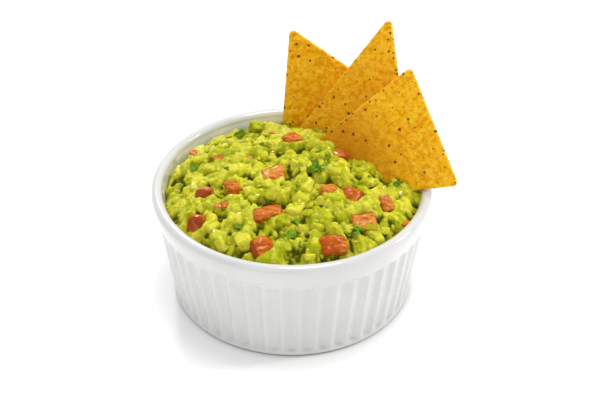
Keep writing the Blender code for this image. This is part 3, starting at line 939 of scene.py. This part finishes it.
def chip_basis(chip):
    """The chip's along, up and back directions."""
    turn, lean = math.radians(chip.turn), math.radians(chip.lean)
    along = np.array([math.cos(turn), math.sin(turn), 0.0])
    up = np.array([-math.sin(turn) * math.sin(lean), math.cos(turn) * math.sin(lean), math.cos(lean)])
    return along, up, -np.cross(along, up)


def chip_middle(chip):
    """The middle of the chip's box in the frame."""
    return sum(box_mm(chip.node)) / 2.0


def clear_of_neighbours(places, reach):
    """Which places are further than about their reach from every chip's sheet and every tomato piece."""
    keep = np.ones(len(places), bool)
    for centre, half in dice_places():
        keep &= np.linalg.norm(places - centre, axis=1) > half * 0.92 + reach * 0.7
    for chip in CHIPS:
        along, _, back = chip_basis(chip)
        offset = places - chip_middle(chip)
        half_width = np.ptp(np.array(chip.corners)[:, 0]) / 2.0
        beside = np.abs(offset @ along) > half_width + 2.0
        keep &= beside | (np.abs(offset @ back) > reach + 1.2)
    return keep


def scatter(heap, rng, count, reach, pitch, sink=0.0):
    """Places on the heap for pieces of this reach, lattice-spread, sunk by this share of the reach."""
    flat = shaken_lattice(rng, pitch, INNER_RADIUS - 1.5)
    flat = flat[rng.permutation(len(flat))]
    size = rng.uniform(*reach, len(flat))
    inside = np.hypot(*flat.T) + size < INNER_RADIUS - 0.4
    flat, size = flat[inside], size[inside]
    places = heap.on_top(flat)
    places[:, 2] -= sink * size
    keep = clear_of_neighbours(places, size)
    return places[keep][:count], size[keep][:count]


def with_placed(heap, placed, places, size):
    """Scattered places and sizes with the chosen ones, rows of x, y and reach, put before them."""
    placed = np.array(placed)
    return np.concatenate([heap.on_top(placed[:, :2]), places]), np.concatenate([placed[:, 2], size])


def lumpy_pieces(rng, net, size, halves, rounding, ripples, lean):
    """Rounded boxes about their own middles, rippled outwards by waves, and turned at random.

    halves are the least and greatest half edges, and ripples rows of a wave's height and length, all as
    shares of each piece's size. lean is the furthest that its local Z axis tilts.
    """
    pieces, scale = len(size), size[:, None, None]
    halves = size[:, None] * rng.uniform(*halves, (pieces, 3))
    shapes = rounded_boxes(net, halves, rng.uniform(*rounding, pieces)) / scale
    ripple = sum(height * waves(shapes, rng, pieces, length) for height, length in ripples)
    shapes = (shapes + unit_vectors(shapes) * ripple[:, :, None]) * scale
    return shapes @ turns(rng, pieces, lean).transpose(0, 2, 1)


class DIP_OT_add_chunks(bpy.types.Operator):
    """Adds the larger chunks and the small crumbs of avocado that lie in the mash"""
    bl_idname = "dip.add_chunks"
    bl_label = "Add Avocado Chunks"

    def execute(self, context):
        settings = context.scene.guacamole_settings
        flesh = avocado_material("avocado_flesh", settings, PALER_PIECES)
        heap = lumpy_heap(settings.seed)
        rng = np.random.default_rng(settings.seed + 1)
        halves = (0.85, 0.65, 0.5), (1.15, 1.0, 0.85)
        chunks = ("chunks", settings.chunks, (1.8, 4.2), 6.8, 0.68, 10, ((0.208, 2.2), (0.0624, 1.0)))
        crumbs = ("crumbs", settings.crumbs, (0.5, 1.2), 3.8, 0.45, 4, ((0.24, 2.2), (0.072, 1.0)))
        for kind, count, reach, pitch, sink, divisions, ripples in (chunks, crumbs):
            places, size = scatter(heap, rng, count, reach, pitch, sink)
            net, faces = cube_net(divisions)
            shapes = lumpy_pieces(rng, net, size, halves, (0.35, 0.7), ripples, 0.9)
            tone = np.repeat(rng.uniform(0.1, 1.0, len(size)), len(net))
            # Painted shade: each piece is darkened on its underside, more the lower a point lies below its
            # middle.
            sunk = np.clip(-shapes[:, :, 2] / size[:, None], 0.0, 1.0).ravel() * 1.6
            points, quads = joined(shapes + places[:, None], faces)
            add_piece(f"avocado_{kind}", points, quads, flesh, (),
                      {"tone": tone, "painted_shade": sunk})
        return {"FINISHED"}


# ---------------------------------------------------------------- tomato

DICE_SEED = 100
SLIVER_SEED = 77


def die_shape(die, rng, net):
    """A die's points about its own middle, and how much of each point is skin.

    A rounded box is skewed and tapered along x, rippled outwards by waves of three lengths, hollowed a little
    in the middle of its cut sides, bulged on the one side that has the skin, and then tilted and turned.
    """
    halves = np.array(die.size) / 2.0
    x, y, z = rounded_boxes(net, halves[None], rng.uniform(0.6, 0.95, 1))[0].T
    skew = rng.uniform(-0.14, 0.14, 3)
    taper = 1.0 + rng.uniform(-0.3, 0.3, 2)[:, None] * x / halves[0]
    shape = np.stack([x + skew[0] * z, taper[0] * y + skew[1] * x, taper[1] * z + skew[2] * y], axis=1)
    ripple = sum(height * waves(shape[None], rng, 1, length)[0]
                 for height, length in ((0.75, 6.5), (0.28, 2.6), (0.07, 0.9)))
    side = int(rng.choice(3, p=(0.3, 0.5, 0.2)))
    end = 1.0 if rng.random() < 0.5 else -1.0
    skin = np.clip((end * net[:, side] - 0.93) / 0.05, 0.0, 1.0)
    from_middle = np.sort(np.abs(net), axis=1)
    cupped = (from_middle[:, 2] - from_middle[:, 1]) * (1.0 - skin)
    shape = shape + unit_vectors(shape) * (ripple - 0.35 * cupped + 0.25 * skin)[:, None]
    turn, tilt = math.radians(die.turn), math.radians(die.tilt)
    tilted = np.array([[1.0, 0.0, 0.0],
                       [0.0, math.cos(tilt), -math.sin(tilt)],
                       [0.0, math.sin(tilt), math.cos(tilt)]])
    turned = np.array([[math.cos(turn), -math.sin(turn), 0.0],
                       [math.sin(turn), math.cos(turn), 0.0],
                       [0.0, 0.0, 1.0]])
    return shape @ (turned @ tilted).T, skin


class DIP_OT_add_tomato(bpy.types.Operator):
    """Adds the diced tomato, one piece for each place in the frame"""
    bl_idname = "dip.add_tomato"
    bl_label = "Add Tomato"

    def execute(self, context):
        settings = context.scene.tomato_settings
        net, faces = cube_net(22)
        for number, die in enumerate(DICE):
            points, skin = die_shape(die, np.random.default_rng(DICE_SEED + number), net)
            # low rises towards the bottom of the piece, where the material paints shade and spreads the
            # mash's smear.
            low = np.clip(0.5 - points[:, 2] / np.ptp(points[:, 2]), 0.0, 1.0)
            points = points + sum(box_mm(die.node)) / 2.0 - TOMATO_SINK * UP
            flesh = tomato_material(settings, context.scene.guacamole_settings, die)
            add_piece(f"{die.node}_diced", points, faces, flesh, [die.node],
                      {"skin": skin, "low": low})
        return {"FINISHED"}


class DIP_OT_add_slivers(bpy.types.Operator):
    """Adds the small slivers of tomato that lie between the dice"""
    bl_idname = "dip.add_slivers"
    bl_label = "Add Tomato Slivers"

    def execute(self, context):
        settings = context.scene.tomato_settings
        mash = context.scene.guacamole_settings
        heap = lumpy_heap(mash.seed)
        rng = np.random.default_rng(SLIVER_SEED)
        net, faces = cube_net(10)
        places, size = scatter(heap, rng, settings.slivers, (0.8, 1.7), 12.0)
        places, size = with_placed(heap, SLIVER_PLACES, places, size)
        halves = (0.9, 0.45, 0.3), (1.1, 0.7, 0.5)
        shapes = lumpy_pieces(rng, net, size, halves, (0.6, 0.95), ((0.12, 1.4),), 0.3)
        # low rises towards the bottom of each sliver, where the material paints shade.
        low = np.clip(0.4 - shapes[:, :, 2] / size[:, None], 0.0, 1.0).ravel()
        points, quads = joined(shapes + places[:, None], faces)
        kind = Die("tomato_slivers", None, turn=0.0, tilt=0.0, smear=0.35, redness=0.8)
        add_piece("tomato_slivers", points, quads, tomato_material(settings, mash, kind), (),
                  {"skin": 0.0 * low, "low": low})
        return {"FINISHED"}


# ---------------------------------------------------------------- herbs

HERB_SEED = 31
PLACED_RISE = 0.6


def leaf_shapes(rng, count, size):
    """Scraps of coriander leaf as thin closed lenses.

    In polar coordinates the edge has two to four lobes with small teeth. The blade curls up or down with the
    square of the radius, is folded along its midrib, and is thickest in the middle.
    """
    rings, spokes, thickest = 7, 30, 0.11
    share = np.linspace(1.0, 0.0, rings, endpoint=False)[::-1]
    angle = np.arange(spokes) * 2.0 * math.pi / spokes
    lobes = rng.integers(2, 5, (count, 1))
    phase = rng.uniform(0.0, 2.0 * math.pi, (count, 1))
    edge = 0.5 + 0.42 * np.abs(np.cos(0.5 * lobes * angle + phase)) + 0.1 * np.sin(9.0 * angle + phase)
    edge = edge * size[:, None]
    radius = edge[:, None, :] * share[None, :, None]
    x = radius * np.cos(angle)
    y = radius * np.sin(angle) * rng.uniform(0.5, 0.9, (count, 1, 1))
    curl = rng.uniform(-0.16, 0.16, (count, 1, 1)) / size[:, None, None]
    fold = rng.uniform(0.0, 0.35, (count, 1, 1))
    z = curl * radius ** 2 + fold * np.abs(y) + 0.16 * np.sin(5.0 * angle + phase[:, :, None]) * radius
    half = thickest * (1.0 - share[None, :, None] ** 3)
    upper = np.stack([x, y, z + half], axis=-1)
    lower = np.stack([x, y, z - half], axis=-1)[:, :-1]
    middle = np.zeros((count, 1, 3))
    top, bottom = middle + thickest * UP, middle - thickest * UP
    points = np.concatenate([top, upper.reshape(count, -1, 3), lower.reshape(count, -1, 3), bottom], axis=1)
    first = 1 + np.arange(rings)[:, None] * spokes + np.arange(spokes)
    second = 1 + rings * spokes + np.arange(rings - 1)[:, None] * spokes + np.arange(spokes)
    second = np.concatenate([second, first[-1:]])
    triangles = [fan(0, first[0], 1), fan(points.shape[1] - 1, second[0], -1)]
    for ring, facing in ((first, 1), (second, -1)):
        for inner, outer in zip(ring, ring[1:]):
            quads = np.stack([inner, outer, np.roll(outer, -1), np.roll(inner, -1)], axis=1)
            triangles += halved(quads if facing > 0 else quads[:, ::-1])
    return points, np.concatenate(triangles)


def stalk_shapes(rng, count, length):
    """Cut stalks: ribbed tubes along an arc, bend * (2 s ** 2 - 0.5) at each share s, with pointed ends."""
    rows, spokes = 11, 30
    share = np.linspace(-0.5, 0.5, rows)
    angle = np.arange(spokes) * 2.0 * math.pi / spokes
    radius = (0.22 + 0.09 * length)[:, None, None] * (1.0 + 0.08 * np.sin(share * 9.0))[None, :, None]
    radius = radius * (1.0 + 0.1 * np.cos(5.0 * angle))
    radius[:, [0, -1]] *= 0.82
    bend = rng.uniform(-0.25, 0.25, (count, 1, 1)) * length[:, None, None]
    x = share[None, :, None] * length[:, None, None] + 0.0 * angle
    y = radius * np.cos(angle) + bend * (4.0 * share[None, :, None] ** 2 - 1.0) * 0.5
    z = radius * np.sin(angle) + 0.0 * x
    tube = np.stack([x, y, z], axis=-1)
    ends = tube[:, [0, -1]].mean(axis=2) + np.array([[-0.12, 0.0, 0.0], [0.12, 0.0, 0.0]])
    points = np.concatenate([tube.reshape(count, -1, 3), ends], axis=1)
    quads, *caps = closed_rows(rows, spokes)
    return points, np.concatenate(halved(quads) + caps)


class DIP_OT_add_herbs(bpy.types.Operator):
    """Adds scraps of coriander leaf and cut stalks, scattered on the heap"""
    bl_idname = "dip.add_herbs"
    bl_label = "Add Herbs"

    def execute(self, context):
        settings = context.scene.herb_settings
        heap = lumpy_heap(context.scene.guacamole_settings.seed)
        rng = np.random.default_rng(HERB_SEED)
        leaves = ("leaves", LEAF_PLACES, settings.leaves, (0.9, 2.0), leaf_shapes, (0.0, 0.6), 0.7)
        stalks = ("stalks", STALK_PLACES, settings.stalks, (2.0, 4.0), stalk_shapes, (0.35, 1.0), 0.5)
        for kind, placed, count, reach, shapes_of, tones, raised in (leaves, stalks):
            places, size = scatter(heap, rng, count, reach, 8.5)
            places, size = with_placed(heap, placed, places, size)
            places[:, 2] += raised
            places[:len(placed), 2] += PLACED_RISE
            shapes, triangles = shapes_of(rng, len(places), size)
            shapes = shapes @ turns(rng, len(places), 0.6).transpose(0, 2, 1)
            tone = np.repeat(rng.uniform(*tones, len(places)), shapes.shape[1])
            points, faces = joined(shapes + places[:, None], triangles)
            green = herb_material(f"coriander_{kind}_green", settings)
            add_piece(f"coriander_{kind}", points, faces, green, (), {"tone": tone})
        return {"FINISHED"}


# ---------------------------------------------------------------- chips

SHEET_POINTS = 300
BLISTERS = 230
FACE_RINGS = 46
RIM_STEPS = np.radians([-60.0, -25.0, 0.0, 25.0, 60.0])
RIM_BITES = (17, 29, 43, 61, 97)


def rounded_outline(corners, radius, step):
    """Points and outward normals round a polygon with arcs for corners, about a step apart.

    In an arc the normal goes from the side before to the side after by even angles; the arc's centre lies on
    the corner's bisector, at the radius over the sine of half the corner's angle.
    """
    corners = np.asarray(corners, float)
    before = unit_vectors(np.roll(corners, 1, axis=0) - corners)
    ahead = unit_vectors(np.roll(corners, -1, axis=0) - corners)
    bisector = unit_vectors(before + ahead)
    half = np.arccos(np.sum(before * ahead, axis=1)) / 2.0
    points, normals = [], []
    for i, corner in enumerate(corners):
        centre = corner + bisector[i] * radius / math.sin(half[i])
        enter, leave = (np.array([side[1], -side[0]]) for side in (before[i], ahead[i]))
        enter, leave = (n if n @ bisector[i] < 0.0 else -n for n in (enter, leave))
        angle = math.pi - 2.0 * half[i]
        share = np.linspace(0.0, 1.0, max(int(radius * angle / step), 4))[:, None]
        normal = (np.sin((1.0 - share) * angle) * enter + np.sin(share * angle) * leave) / math.sin(angle)
        points.append(centre + radius * normal)
        normals.append(normal)
        after = (i + 1) % len(corners)
        side = np.linalg.norm(corners[after] - corner)
        straight = side - radius / math.tan(half[i]) - radius / math.tan(half[after])
        share = np.arange(1, int(straight / step))[:, None] * step / straight
        points.append(points[-1][-1] + ahead[i] * straight * share)
        normals.append(np.repeat(leave[None], len(share), axis=0))
    return np.concatenate(points), np.concatenate(normals)


def blister_field(rng):
    """Blisters of a fried sheet: domes h * (1 - d ** 2) ** 1.3 of random widths and heights on a square."""
    half = SHEET_POINTS * FIELD_STEP / 2.0
    axis = np.arange(SHEET_POINTS) * FIELD_STEP - half
    field = np.zeros((SHEET_POINTS, SHEET_POINTS))
    for _ in range(BLISTERS):
        x, y = rng.uniform(-half, half, 2)
        radius, height = rng.uniform(0.8, 2.6), rng.uniform(0.08, 0.34)
        away = ((axis[None] - x) ** 2 + (axis[:, None] - y) ** 2) / radius ** 2
        field = np.maximum(field, height * np.clip(1.0 - away, 0.0, None) ** 1.3)
    return field


class DIP_OT_add_chips(bpy.types.Operator):
    """Adds the tortilla chips: bent, blistered sheets with rounded corners"""
    bl_idname = "dip.add_chips"
    bl_label = "Add Tortilla Chips"

    def execute(self, context):
        settings = context.scene.chip_settings
        corn = corn_material(settings)
        for chip in CHIPS:
            self.add_chip(chip, settings.thickness, corn)
        return {"FINISHED"}

    def add_chip(self, chip, thickness, corn):
        """One chip: its outline shrunk to the middle in rings on both faces, joined by a rounded rim.

        The sheet is bent by bend * (u ** 2 - 0.6 v ** 2 + 0.5 u v) and a faint wave, where u and v are the
        places along and up it as shares of its reach.
        """
        rng = np.random.default_rng(chip.seed)
        outline, normals = rounded_outline(chip.corners, CHIP_CORNER, 0.55)
        columns = len(outline)
        turn = np.linspace(0.0, 2.0 * math.pi, columns, endpoint=False)
        worn = sum(rng.uniform(-0.035, 0.035) * np.sin(turn * k + rng.uniform(0.0, 6.28)) for k in RIM_BITES)
        outline = outline + normals * worn[:, None]
        middle = outline.mean(axis=0)
        reach = np.abs(outline - middle).max()
        to_edge = np.abs(np.sum((outline - middle) * normals, axis=1))
        half = thickness / 2.0
        face_edge = outline - normals * half * 0.5 - middle
        blisters = [blister_field(rng) for _ in range(2)]
        rough = 0.035 * noise_field(rng, SHEET_POINTS, 0.35)
        shares = 1.0 - np.linspace(1.0, 0.0, FACE_RINGS + 1)[1:] ** 1.3
        # Rows of points: place in the sheet, rise out of it, way in from the edge, and height of a blister
        rows = []
        for side, field, rings in ((-1.0, blisters[0], shares), (1.0, blisters[1], shares[::-1])):
            for share in rings:
                flat = middle + face_edge * share
                at = ((flat - middle) / FIELD_STEP + SHEET_POINTS / 2.0).astype(int)
                blister = (field + rough)[at[:, 1], at[:, 0]] * min((1.0 - share) * 14.0, 1.0)
                rows.append((flat, side * (half + blister), (1.0 - share) * to_edge, blister * 4.0))
            if side < 0.0:
                none = np.zeros(columns)
                for step in RIM_STEPS:
                    flat = outline - normals * half * 0.5 * (1.0 - math.cos(step))
                    rows.append((flat, none + half * math.sin(step), none, none))
        rows.append(([middle, middle], [-half, half], [20.0, 20.0], [0.0, 0.0]))
        flat, rise, edge, blister = (np.concatenate(values) for values in zip(*rows))
        u, v = (flat - middle).T / reach
        bend = chip.bend * (u * u - 0.6 * v * v + 0.5 * u * v)
        bend += 0.25 * np.sin(4.0 * u + chip.seed) * np.sin(3.3 * v)
        along, up, back = chip_basis(chip)
        points = flat[:, :1] * along + flat[:, 1:] * up + (bend + rise)[:, None] * back
        points += chip_middle(chip) - (points.min(axis=0) + points.max(axis=0)) / 2.0
        # Painted shade towards the foot: full within 24 mm of the midpoint of the two lowest corners, gone by
        # 44 mm, scaled by the chip's own amount.
        foot = np.mean(sorted(chip.corners, key=lambda corner: corner[1])[:2], axis=0)
        from_foot = np.hypot(*(flat - foot).T)
        # The rim attribute carries the painted highlight along the edge.
        attributes = {
            "edge": edge, "rim": np.clip(1.0 - edge / 0.9, 0.0, 1.0), "blister": blister,
            "browned": np.clip((44.0 - from_foot) / 20.0, 0.0, 1.0) * chip.browned,
            "sheet": np.column_stack([flat + 200.0 * chip.seed, 0.0 * rise]) * MM}
        faces = [block[:, ::-1] for block in closed_rows(len(rows) - 1, columns)]
        add_piece(f"{chip.node}_fried", points, faces, corn, [chip.node], attributes)


# ---------------------------------------------------------------- stage

Lamp = namedtuple("Lamp", "name place size power tint")

# Round soft lights that face the middle of the rim: place and size in millimetres, and power in watts
LAMPS = (
    Lamp("key_light", (1420.0, 150.0, 880.0), 300.0, 9.0, (1.0, 0.985, 0.96)),
    Lamp("top_light", (250.0, 200.0, 2500.0), 1000.0, 25.0, (1.0, 1.0, 1.0)),
    Lamp("back_light", (-250.0, 950.0, 900.0), 200.0, 5.0, (1.0, 1.0, 1.0)),
    Lamp("fill_light", (-700.0, -1400.0, 900.0), 900.0, 3.3, (1.0, 1.0, 1.0)),
)
SURROUNDINGS = 0.56
FLOOR_HALF = 4.0
SENSOR_WIDTH = 36.0


def add_light(lamp):
    """A round soft light, turned to face the middle of the rim."""
    data = bpy.data.lights.new(lamp.name, "AREA")
    data.shape = "DISK"
    data.size = lamp.size * MM
    data.energy = lamp.power
    data.color = lamp.tint
    light = bpy.data.objects.new(lamp.name, data)
    bpy.context.scene.collection.objects.link(light)
    x, y, z = BOWL_HEIGHT * UP - np.array(lamp.place)
    light.location = np.array(lamp.place) * MM
    light.rotation_euler = (math.atan2(math.hypot(x, y), -z), 0.0, math.atan2(-x, y))


class DIP_OT_add_stage(bpy.types.Operator):
    """Adds the floor, soft lights, pale surroundings and the camera"""
    bl_idname = "dip.add_stage"
    bl_label = "Add Stage"

    def execute(self, context):
        settings = context.scene.dip_stage_settings
        scene = context.scene
        floor = bpy.data.meshes.new("studio_floor")
        corners = ((-1.0, -1.0), (1.0, -1.0), (1.0, 1.0), (-1.0, 1.0))
        floor.from_pydata([(x * FLOOR_HALF, y * FLOOR_HALF, 0.0) for x, y in corners], [], [(0, 1, 2, 3)])
        floor.materials.append(floor_material())
        piece = bpy.data.objects.new("studio_floor", floor)
        scene.collection.objects.link(piece)
        for lamp in LAMPS:
            add_light(lamp)
        world = bpy.data.worlds.new("pale_surroundings")
        scene.world = world
        world.use_nodes = True
        background = world.node_tree.nodes["Background"]
        background.inputs["Color"].default_value = colour((1.0, 1.0, 1.0))
        background.inputs["Strength"].default_value = SURROUNDINGS
        lens = bpy.data.cameras.new("dish_camera")
        lens.lens = settings.lens
        lens.sensor_width = SENSOR_WIDTH
        camera = bpy.data.objects.new("dish_camera", lens)
        camera.location = (0.0, -settings.distance * math.cos(settings.elevation),
                           BOWL_HEIGHT * MM + settings.distance * math.sin(settings.elevation))
        camera.rotation_euler = (math.pi / 2.0 - settings.pitch, 0.0, -settings.yaw)
        scene.collection.objects.link(camera)
        scene.camera = camera
        scene.view_settings.view_transform = "Standard"
        scene.view_settings.look = "None"
        return {"FINISHED"}


# ---------------------------------------------------------------- add-on

OPERATORS = (DIP_OT_add_ramekin, DIP_OT_add_mash, DIP_OT_add_chunks, DIP_OT_add_tomato, DIP_OT_add_slivers,
             DIP_OT_add_herbs, DIP_OT_add_chips, DIP_OT_add_stage)


class DIP_PT_guacamole(bpy.types.Panel):
    """Lists the sizes and colours, and a button for each piece"""
    bl_label = "Guacamole in a Ramekin"
    bl_idname = "DIP_PT_guacamole"
    bl_space_type = "VIEW_3D"
    bl_region_type = "UI"
    bl_category = "Dips"

    def draw(self, context):
        for operator in OPERATORS:
            self.layout.operator(operator.bl_idname)
        for key, group in GROUPS.items():
            box = self.layout.box()
            for setting in group.__annotations__:
                box.prop(getattr(context.scene, key), setting)


def register():
    for group in (*GROUPS.values(), *OPERATORS, DIP_PT_guacamole):
        bpy.utils.register_class(group)
    for key, group in GROUPS.items():
        setattr(bpy.types.Scene, key, PointerProperty(type=group))


def unregister():
    for key in GROUPS:
        delattr(bpy.types.Scene, key)
    for group in reversed((*GROUPS.values(), *OPERATORS, DIP_PT_guacamole)):
        bpy.utils.unregister_class(group)


def main():
    register()
    for operator in OPERATORS:
        family, name = operator.bl_idname.split(".")
        getattr(getattr(bpy.ops, family), name)()


if __name__ == "__main__":
    main()
